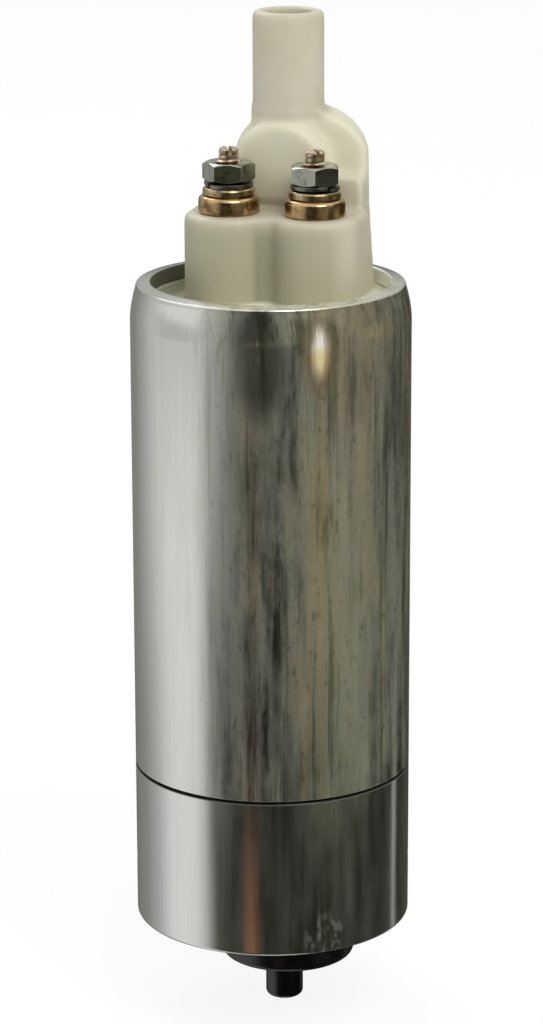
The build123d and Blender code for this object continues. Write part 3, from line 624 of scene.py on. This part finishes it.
brass_finish, place = new_finish("plated_stud", metallic=1.0)
clouds = place.noise(900, 4.0, 0.6)
stud_colour = clouds.rise(0.4, 0.7).blend((0.68, 0.55, 0.42), (0.27, 0.20, 0.13))
painted(brass_finish, stud_colour, 0.2 + clouds * 0.25, None, clouds, 0.01 * MM)
for side, centre_x in terminals.items():
    centre = (centre_x, 0.0)
    stud_outline = [
        (0, stud_low.z),
        (stud_head_radius, stud_low.z),
        (stud_head_radius, stud_low.z + stud_head_height),
        (stud_root, stud_low.z + stud_head_height),
        (stud_root, thread_foot - thread_pitch),
        (stud_radius, thread_foot),
        (stud_radius, stud_shoulder - stud_chamfer),
        (tip_radius, stud_shoulder),
        (tip_radius, stud_high.z - stud_chamfer),
        (tip_radius - stud_chamfer, stud_high.z),
        (0, stud_high.z),
    ]
    core_outline = [
        (0, stud_low.z),
        (stud_head_radius, stud_low.z),
        (stud_head_radius, stud_low.z + stud_head_height),
        (tip_root, stud_low.z + stud_head_height),
        (tip_root, stud_high.z),
        (0, stud_high.z),
    ]
    stud = thread(f"stud_{side}", stud_radius + thread_over, tip_root + thread_under,
                  thread_pitch, thread_foot, stud_high.z + thread_pitch, centre)
    joined(stud, turned("stud_core", core_outline, centre, 48), "UNION")
    joined(stud, turned("stud_form", stud_outline, centre, 64), "INTERSECT")
    cutter = block("driver_slot", (-slot_width / 2, -stud_radius * 1.5, stud_high.z - slot_depth),
                   (slot_width / 2, stud_radius * 1.5, stud_high.z + slot_depth),
                   slot_turns[side], (centre_x, 0, 0))
    joined(stud, cutter, "DIFFERENCE")
    softened(stud, smooth_angle=25)
    laid_on(stud, brass_finish, "stud_brass", "housing", "terminal_studs")


# Brass collars and washers. A turned collar sits on each boss, and a thinner pressed washer lies
# on it. Both are bright brass gone brown in the hollows, with well rounded upper edges.
washer_low, washer_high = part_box("terminal_washers")
ring_bore = 2.1 * MM
collar_edge = 0.8 * MM
washer_edge = 0.55 * MM
edge_steps = 6
foot_break = 0.12 * MM


def edged_ring(name, low, high, outside, edge, centre):
    """A ring with a round upper edge and a broken lower one."""
    arc = [math.pi / 2 * step / edge_steps for step in range(edge_steps + 1)]
    outline = [
        (ring_bore, low),
        (outside - foot_break * 2, low),
        (outside, low + foot_break * 2),
        *[(outside - edge * (1 - math.cos(a)), high - edge * (1 - math.sin(a))) for a in arc],
        (ring_bore + foot_break, high),
        (ring_bore, high - foot_break),
    ]
    return softened(turned(name, outline, centre, 96))


collar_finish, place = new_finish("aged_brass", metallic=1.0)
clouds = place.stretched(1, 1, 1.6).noise(420, 4.0, 0.62)
turned_lines = place.stretched(0.04, 0.04, 1).noise(9000, 2.0)
collar_colour = clouds.rise(0.38, 0.7).blend((0.60, 0.42, 0.21), (0.20, 0.11, 0.05))
collar_roughness = 0.08 + clouds * 0.14 + turned_lines * 0.05
painted(collar_finish, collar_colour, collar_roughness, None, turned_lines, 0.006 * MM)
washer_finish, place = new_finish("pressed_brass", metallic=1.0)
clouds = place.noise(620, 4.0, 0.6)
washer_colour = clouds.rise(0.4, 0.7).blend((0.50, 0.39, 0.21), (0.19, 0.13, 0.06))
painted(washer_finish, washer_colour, 0.16 + clouds * 0.2, None, clouds, 0.008 * MM)
for side, centre_x in terminals.items():
    collar = edged_ring(f"collar_{side}", collar_low.z, collar_high.z, collar_high.y, collar_edge,
                        (centre_x, 0.0))
    laid_on(collar, collar_finish, "collar_brass", "housing", "terminal_collars")
    washer = edged_ring(f"washer_{side}", washer_low.z, washer_high.z, washer_high.y, washer_edge,
                        (centre_x, 0.0))
    laid_on(washer, washer_finish, "washer_brass", "housing", "terminal_washers")


# Lock washers. Split rings of dark spring steel under the nuts. Each is one turn of a flat helix,
# so that its two cut ends stand a little apart.
lock_low, lock_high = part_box("lock_washers")
lock_radius = lock_high.y
lock_split = 0.7 * MM
lock_rise = 0.3 * MM
lock_edge = 0.08 * MM
lock_steps = 72
lock_splits = {"left": -130, "right": -40}
lock_finish, place = new_finish("dark_spring_steel", metallic=1.0)
clouds = place.noise(800, 4.0, 0.6)
lock_colour = clouds.rise(0.35, 0.7).blend((0.26, 0.25, 0.22), (0.12, 0.105, 0.085))
painted(lock_finish, lock_colour, 0.24 + clouds * 0.2, None, clouds, 0.01 * MM)
for side, centre_x in terminals.items():
    gap_angle = lock_split / lock_radius
    thickness = lock_high.z - lock_low.z - lock_rise
    section = [(ring_bore, 0, lock_low.z), (lock_radius, 0, lock_low.z),
               (lock_radius, 0, lock_low.z + thickness), (ring_bore, 0, lock_low.z + thickness)]
    lock = drawn(f"lock_washer_{side}", section + section[:1])
    bpy.ops.mesh.select_all(action="SELECT")
    bpy.ops.mesh.remove_doubles(threshold=1e-7)
    bpy.ops.object.mode_set(mode="OBJECT")
    applied(lock, "SCREW", axis="Z", angle=math.tau - gap_angle, screw_offset=lock_rise,
            steps=lock_steps, render_steps=lock_steps)
    bpy.ops.object.mode_set(mode="EDIT")
    bpy.ops.mesh.select_all(action="SELECT")
    bpy.ops.mesh.fill_holes(sides=4)
    bpy.ops.mesh.select_all(action="SELECT")
    bpy.ops.mesh.normals_make_consistent(inside=False)
    bpy.ops.object.mode_set(mode="OBJECT")
    lock.rotation_euler.z = math.radians(lock_splits[side]) + gap_angle / 2
    lock.location.x = centre_x
    bpy.ops.object.transform_apply()
    softened(lock, lock_edge, segments=2)
    laid_on(lock, lock_finish, "lock_steel", "housing", "lock_washers")


# Terminal nuts. Zinc plated hexagons, with their corners turned off top and bottom as on any nut
# cut from bar, and a countersink at each end of the thread.
nut_flats = 7.0 * MM
nut_corner = nut_flats / math.sqrt(3)
nut_edge = 0.1 * MM
nut_face_radius = nut_flats / 2 - nut_edge
nut_corner_drop = 0.42 * MM
nut_chamfer_radius = nut_face_radius + nut_corner_drop * math.sqrt(3)
nut_countersink = 0.35 * MM
nut_bore_radius = stud_root + nut_countersink * 1.8
nut_turns = {"left": -19, "right": -46}
nut_finish, place = new_finish("zinc_plate", metallic=1.0)
clouds = place.noise(700, 4.0, 0.6)
scuffs = place.stretched(1, 1, 5).noise(1500, 3.0)
nut_colour = clouds.rise(0.45, 0.75).blend((0.42, 0.42, 0.37), (0.17, 0.17, 0.12))
painted(nut_finish, nut_colour, 0.05 + clouds * 0.1 + scuffs.rise(0.55, 0.8) * 0.1, None,
        clouds * 0.5 + scuffs * 0.5, 0.004 * MM)
for side, centre_x in terminals.items():
    alone()
    bpy.ops.mesh.primitive_cylinder_add(vertices=6, radius=nut_corner, depth=nut_high.z - nut_low.z,
                                        location=(centre_x, 0, (nut_low.z + nut_high.z) / 2),
                                        rotation=(0, 0, math.radians(nut_turns[side])))
    nut = bpy.context.object
    nut.name = f"nut_{side}"
    bpy.ops.object.transform_apply()
    nut_form = [
        (stud_root, nut_low.z + nut_countersink),
        (nut_bore_radius, nut_low.z),
        (nut_face_radius, nut_low.z),
        (nut_chamfer_radius, nut_low.z + nut_corner_drop),
        (nut_chamfer_radius, nut_high.z - nut_corner_drop),
        (nut_face_radius, nut_high.z),
        (nut_bore_radius, nut_high.z),
        (stud_root, nut_high.z - nut_countersink),
    ]
    joined(nut, turned("nut_form", nut_form, (centre_x, 0.0), 96), "INTERSECT")
    softened(nut, nut_edge, segments=2)
    laid_on(nut, nut_finish, "nut_steel", "housing", "terminal_nuts")


# Rubber and fibre seals. The ring in the cap's groove keeps fuel inside the can, and a thin
# gasket lies between the black cover and the pump's lower plate.
def finished(finish, *nodes):
    """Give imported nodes, whose shapes stay as they are, their finish."""
    for node in nodes:
        for material_slot in frame["nodes"][node].material_slots:
            material_slot.material = finish


seal_finish, place = new_finish("seal_rubber_finish", ior=1.5)
dust = place.noise(700, 4.0, 0.6)
seal_colour = dust.rise(0.5, 0.8).blend((0.018, 0.018, 0.018), (0.05, 0.05, 0.048))
painted(seal_finish, seal_colour, 0.45 + dust * 0.25, None, dust, 0.02 * MM)
finished(seal_finish, "cap_seal")
gasket_finish, place = new_finish("pressed_fibre", ior=1.45)
fibres = place.noise(1500, 5.0, 0.7, 2.0)
gasket_colour = fibres.rise(0.35, 0.7).blend((0.12, 0.10, 0.08), (0.05, 0.045, 0.04))
painted(gasket_finish, gasket_colour, 0.75 + fibres * 0.2, None, fibres, 0.05 * MM)
finished(gasket_finish, "cover_gasket")


# Pump block. Two lapped aluminium plates and a ring between them hold the rotors, with three
# black screws through all of them and two ground pins that line them up.
def ground_metal(name, bright, dull, roughness, grain, relief):
    """A metal worked along one direction: its grain is the stretch of the pattern on each axis."""
    finish, place = new_finish(name, metallic=1.0)
    marks = place.stretched(*grain).noise(1400, 4.0, 0.6)
    clouds = place.noise(180, 4.0, 0.6)
    colour = (marks.rise(0.35, 0.75) * 0.6 + clouds.rise(0.4, 0.8) * 0.4).blend(bright, dull)
    return painted(finish, colour, roughness + marks * 0.12 + clouds * 0.08, None, marks, relief)


round_marks = (1, 1, 1)
turned_marks = (0.03, 0.03, 1)
drawn_marks = (1, 1, 0.03)
plate_finish = ground_metal("lapped_aluminium", (0.72, 0.72, 0.72), (0.5, 0.5, 0.5), 0.24,
                            turned_marks, 0.008 * MM)
finished(plate_finish, "inlet_plate", "rotor_ring", "outlet_plate")
rotor_finish = ground_metal("sintered_steel", (0.38, 0.38, 0.39), (0.24, 0.24, 0.25), 0.32,
                            round_marks, 0.015 * MM)
finished(rotor_finish, "outer_rotor", "inner_rotor")
screw_finish = ground_metal("black_screws", (0.2, 0.2, 0.21), (0.09, 0.09, 0.1), 0.3,
                            round_marks, 0.01 * MM)
finished(screw_finish, "pump_screws")


# Armature. A ground shaft carries a stack of thin laminations, enamelled copper coils in their
# slots and a flat commutator, and turns in two bronze bushes between steel thrust washers.
shaft_finish = ground_metal("ground_shaft", (0.78, 0.78, 0.78), (0.62, 0.62, 0.62), 0.1,
                            turned_marks, 0.003 * MM)
finished(shaft_finish, "armature_shaft", "thrust_washers", "alignment_pins", "relief_ball")
core_finish, place = new_finish("laminations", metallic=1.0)
layers = place.stretched(0, 0, 1).node("TexWave", {"bands_direction": "Z"},
                                      {"Vector": place, "Scale": 320.0, "Distortion": 0.0}, 1)
rust = place.noise(260, 4.0, 0.65)
core_colour = rust.rise(0.45, 0.75).blend((0.42, 0.42, 0.43), (0.26, 0.2, 0.16))
painted(core_finish, core_colour, 0.3 + rust * 0.3, None, layers * 0.8 + rust * 0.2, 0.05 * MM)
finished(core_finish, "armature_core")
wire_finish, place = new_finish("enamelled_wire", metallic=1.0, coat_weight=0.6)
turns_of_wire = place.node("TexWave", {"bands_direction": "DIAGONAL"},
                           {"Vector": place, "Scale": 260.0, "Distortion": 1.5}, 1)
age = place.noise(400, 3.0)
wire_colour = (turns_of_wire * 0.6 + age * 0.4).blend((0.30, 0.10, 0.035), (0.72, 0.30, 0.12))
painted(wire_finish, wire_colour, 0.28 + age * 0.15, None, turns_of_wire, 0.12 * MM)
finished(wire_finish, "armature_windings")
copper_finish = ground_metal("commutator_copper", (0.78, 0.40, 0.24), (0.42, 0.20, 0.12), 0.22,
                             turned_marks, 0.006 * MM)
finished(copper_finish, "commutator")
bronze_finish = ground_metal("oiled_bronze", (0.52, 0.36, 0.18), (0.34, 0.22, 0.11), 0.34,
                             round_marks, 0.02 * MM)
finished(bronze_finish, "lower_bush", "upper_bush")


# Magnets. Two black ferrite arcs stand against the can's wall, pushed apart by two spring clips.
# The arcs are ground on their curved faces, and the clips are bent from bright spring steel.
magnet_finish, place = new_finish("ferrite", ior=1.9)
grain = place.noise(900, 5.0, 0.7)
ground_streaks = place.stretched(1, 1, 0.06).noise(700, 3.0)
magnet_colour = grain.rise(0.4, 0.75).blend((0.05, 0.05, 0.054), (0.095, 0.093, 0.092))
painted(magnet_finish, magnet_colour, 0.42 + ground_streaks * 0.3, None,
        grain * 0.6 + ground_streaks * 0.4, 0.03 * MM)
finished(magnet_finish, "magnet_left", "magnet_right")
spring_finish = ground_metal("bright_spring_steel", (0.62, 0.62, 0.6), (0.44, 0.44, 0.43), 0.16,
                             drawn_marks, 0.004 * MM)
finished(spring_finish, "magnet_clips")


# Brush gear. A brown moulded holder guides two carbon brushes down on to the commutator. Behind
# each is a spring, and inside the spring runs the braided copper lead to its terminal.
holder_finish, place = new_finish("brown_moulding", ior=1.5)
flow = place.stretched(1, 1, 0.4).noise(160, 4.0, 0.6, 1.0)
holder_colour = flow.rise(0.35, 0.7).blend((0.13, 0.075, 0.04), (0.075, 0.042, 0.025))
painted(holder_finish, holder_colour, 0.34 + flow * 0.2, None, flow, 0.03 * MM)
finished(holder_finish, "brush_holder")
carbon_finish, place = new_finish("brush_carbon", ior=1.6)
rubbed = place.stretched(1, 1, 0.08).noise(900, 4.0, 0.65)
carbon_colour = rubbed.rise(0.4, 0.8).blend((0.022, 0.022, 0.024), (0.07, 0.065, 0.065))
painted(carbon_finish, carbon_colour, 0.4 + rubbed * 0.25, None, rubbed, 0.03 * MM)
finished(carbon_finish, "brush_left", "brush_right")
braid_finish, place = new_finish("braided_lead", metallic=1.0)
braid = place.node("TexWave", {"bands_direction": "DIAGONAL"},
                   {"Vector": place, "Scale": 900.0, "Distortion": 2.0}, 1)
braid_colour = braid.blend((0.36, 0.15, 0.07), (0.76, 0.42, 0.24))
painted(braid_finish, braid_colour, 0.3 + braid * 0.15, None, braid, 0.06 * MM)


# Valves in the cap. A black poppet closes the outlet when the pump stops, below a white retainer.
# The relief valve is a ball on a brass seat.
poppet_finish, place = new_finish("poppet_moulding", ior=1.5)
clouds = place.noise(600, 3.0)
poppet_colour = clouds.rise(0.4, 0.7).blend((0.014, 0.014, 0.015), (0.035, 0.035, 0.035))
painted(poppet_finish, poppet_colour, 0.3 + clouds * 0.2, None, clouds, 0.02 * MM)
finished(poppet_finish, "check_valve")
retainer_finish, place = new_finish("retainer_acetal", ior=1.48)
clouds = place.noise(300, 3.0)
retainer_colour = clouds.rise(0.4, 0.7).blend((0.66, 0.64, 0.52), (0.56, 0.54, 0.42))
painted(retainer_finish, retainer_colour, 0.36 + clouds * 0.15, None, clouds, 0.02 * MM)
finished(retainer_finish, "valve_retainer")
finished(collar_finish, "relief_seat")


# Springs and leads. Coiled steel springs push the valves on to their seats and the brushes on to
# the commutator, with a lead inside each brush spring.
for joint in frame["joints"]:
    for row in joint.get("deforming_nodes", []):
        node = row["node"]
        fixed_end = row["fixed_end_z_m"]
        length = fixed_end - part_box(node)[0].z
        travel = joint["range_m"][1]
        piece = softened(copy_of(node, node + "_free"), smooth_angle=50)
        if "lead" in node:
            laid_on(piece, braid_finish, "lead_wire", "housing", node)
        else:
            laid_on(piece, spring_finish, "spring_steel", "housing", node)
        (length - travel) / length
        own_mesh(piece)


# Camera and studio. The camera stands where the photograph's stood. Behind and round it a dark
# wall glows, seen only in the metal's reflections, with one bright window to the left. Its
# painted patches of light and dark stand in for reflections on the can, the nuts and the sleeve.
photo_azimuth = 14.0
azimuth = math.radians(photo_azimuth)
camera_reach = 0.54358
camera_height = 0.16724
camera_pitch = math.radians(15.536)
camera_roll = math.radians(-0.188)
camera_data = bpy.data.cameras.new("photo_camera")
camera_data.lens = 128.14
camera_data.sensor_width = 36
camera_data.clip_start = 0.01
camera_data.clip_end = 50
camera = bpy.data.objects.new("photo_camera", camera_data)
bpy.context.scene.collection.objects.link(camera)
camera_place = (camera_reach * math.sin(azimuth), -camera_reach * math.cos(azimuth), camera_height)
camera.matrix_world = (
    Matrix.Translation(camera_place)
    @ Matrix.Rotation(azimuth, 4, "Z")
    @ Matrix.Rotation(math.pi / 2 - camera_pitch, 4, "X")
    @ Matrix.Rotation(camera_roll, 4, "Z")
)
bpy.context.scene.camera = camera

floor_width = 12
floor_level = cad_box[0].z - 0.2 * MM
alone()
bpy.ops.mesh.primitive_plane_add(size=floor_width, location=(0, 0, floor_level))
floor = bpy.context.object
floor.name = "studio_floor"
floor.visible_glossy = False
floor_glow = 0.86
floor_white = 1.03
paper_light = (0.95, 0.95, 0.95)
paper_dark = (0.93, 0.93, 0.93)
floor_finish, place = new_finish("floor_paper", roughness=0.9)
painted(floor_finish, place.noise(3.0).blend(paper_light, paper_dark))
tree = floor_finish.node_tree
seen = Shade(tree, tree.nodes.new("ShaderNodeLightPath").outputs["Is Camera Ray"])
paper = Shade(tree, tree.nodes["Principled BSDF"].outputs[0])
lit = seen.node("Emission", {}, {"Color": (1, 1, 1, 1), "Strength": floor_white})
mixed = seen.node("MixShader", {}, {0: seen * floor_glow, 1: paper, 2: lit})
tree.links.new(mixed.socket, tree.nodes["Material Output"].inputs["Surface"])
floor.data.materials.append(floor_finish)

wall_reach = 0.8
wall_foot = -3.0
wall_top = 0.55
wall = turned("studio_wall", [(wall_reach, wall_foot), (wall_reach, wall_top)], steps=96)
wall.visible_camera = False
wall.visible_transmission = False
wall.visible_diffuse = False
wall.visible_shadow = False
wall_finish = bpy.data.materials.new("wall_cloth")
wall_finish.use_nodes = True
tree = wall_finish.node_tree
tree.nodes.clear()
place = Shade(tree, tree.nodes.new("ShaderNodeTexCoord").outputs["Object"])
turned_by = place.math("ARCTAN2", place.part(0), place.part(1) * -1.0) * (180 / math.pi)
wrap = {0: turned_by - photo_azimuth, 1: 180.0, 2: -180.0}
bearing = place.node("Math", {"operation": "WRAP"}, wrap)
upper_glow = [
    (-180, 0.24), (-160, 0.25), (-145, 0.28), (-123, 0.52), (-105, 0.83), (-90, 0.94), (-77, 0.95),
    (-63, 0.92), (-54, 0.56), (-42, 0.42), (-32, 0.29), (-23, 0.11), (-11, 0.03), (9, 0.04),
    (20, 0.12), (32, 0.22), (45, 0.25), (61, 0.22), (80, 0.18), (110, 0.13), (128, 0.08),
    (152, 0.05), (168, 0.15), (180, 0.24),
]
lower_glow = [
    (-180, 0.09), (-160, 0.20), (-131, 0.31), (-110, 0.53), (-94, 0.87), (-80, 0.94), (-66, 0.88),
    (-58, 0.62), (-47, 0.07), (-33, 0.025), (100, 0.02), (118, 0.03), (121, 0.40), (124, 0.40),
    (128, 0.03), (180, 0.09),
]
glow_white = (0.995, 1.0, 0.975)
glow_olive = (0.95, 1.0, 0.66)
full_glow = 0.35
around = (bearing + 180.0) * (1 / 360)


def glow_ring(stops_at):
    """The wall's glow all the way round, from (bearing, strength) pairs. The dim glow is olive."""
    stops = []
    for angle, glow in stops_at:
        white = min(1.0, glow / full_glow)
        tint = [olive + (pale - olive) * white for olive, pale in zip(glow_olive, glow_white)]
        stops.append(((angle + 180) / 360, tuple(glow * c for c in tint)))
    return around.node("ValToRGB", {"stops": stops}, {"Fac": around})


def patch(colour, tint, centre, width, low, high, fade):
    """Paint a soft upright patch on the wall's colour, at a bearing and between two heights."""
    across = (bearing - centre) * (1 / width)
    inside = (across * across).rise(1.0, 0.0)
    inside = inside * height.rise(low - fade, low + fade) * height.rise(high + fade, high - fade)
    return inside.blend(colour, tint)


height = place.part(2)
wall_colour = height.rise(-0.31, -0.20).blend(glow_ring(lower_glow), glow_ring(upper_glow))
# Painted reflections: the patches put bright and dark bands into the metal of the can, nuts, seam,
# shoulder and sleeve.
# Each patch gives its tint, bearing, half width, lowest and highest height, and softness.
can_patches = [
    ((0.20, 0.165, 0.10), 40.0, 16.0, -0.25, -0.15, 0.05),
    ((0.42, 0.43, 0.30), 58.0, 42.0, -0.28, -0.225, 0.02),
    ((0.60, 0.60, 0.59), -85.0, 38.0, -0.145, 0.1, 0.04),
    ((0.04, 0.04, 0.03), -18.0, 22.0, -0.146, 0.35, 0.022),
]
nut_patches = [
    ((0.11, 0.11, 0.07), -10.0, 24.0, -0.085, 0.0, 0.01),
    ((0.02, 0.02, 0.01), 60.0, 14.0, -0.085, 0.0, 0.01),
    ((0.50, 0.44, 0.27), 91.0, 15.0, -0.085, 0.0, 0.01),
]
seam_patches = [((0.12, 0.12, 0.11), -44.0, 12.0, -0.32, -0.215, 0.012)]
shoulder_patches = [((0.24, 0.24, 0.18), 16.0, 13.0, -0.04, 0.35, 0.02)]
sleeve_patches = [((0.30, 0.14, 0.08), -18.0, 8.0, -0.46, -0.34, 0.02)]
for row in can_patches + nut_patches + seam_patches + shoulder_patches + sleeve_patches:
    wall_colour = patch(wall_colour, *row)
ceiling_glow = (0.48, 0.48, 0.46)
behind = (bearing * bearing).rise(110.0 ** 2, 140.0 ** 2)
wall_colour = (height.rise(0.10, 0.18) * behind).blend(wall_colour, ceiling_glow)
glow = wall_colour.node("Emission", {}, {"Color": wall_colour, "Strength": 1.0})
wall_output = tree.nodes.new("ShaderNodeOutputMaterial")
tree.links.new(glow.socket, wall_output.inputs["Surface"])
wall.data.materials.append(wall_finish)

world = bpy.data.worlds.new("studio")
world.use_nodes = True
bpy.context.scene.world = world
tree = world.node_tree
path = tree.nodes.new("ShaderNodeLightPath")
seen = (Shade(tree, path.outputs["Is Camera Ray"]) + Shade(tree, path.outputs["Is Glossy Ray"])
        + Shade(tree, path.outputs["Is Transmission Ray"])).rise(0.0, 1.0)
ambient = 0.55
background = tree.nodes["Background"]
background.inputs["Color"].default_value = (1, 1, 1, 1)
tree.links.new((ambient + seen * (1.0 - ambient)).socket, background.inputs["Strength"])


def soft_lamp(name, place, aim, size, power):
    """A square soft lamp that faces a point."""
    lamp_data = bpy.data.lights.new(name, "AREA")
    lamp_data.size = size
    lamp_data.energy = power
    lamp = bpy.data.objects.new(name, lamp_data)
    bpy.context.scene.collection.objects.link(lamp)
    lamp.location = place
    lamp.rotation_euler = (Vector(aim) - Vector(place)).to_track_quat("-Z", "Y").to_euler()


soft_lamp("key_lamp", (0.45, -0.5, 0.8), (0, 0, 0.05), 0.5, 4.0)
soft_lamp("back_lamp", (-0.5, 0.6, 0.8), (0, 0, 0.05), 0.6, 3.0)
bpy.context.scene.view_settings.view_transform = "Standard"
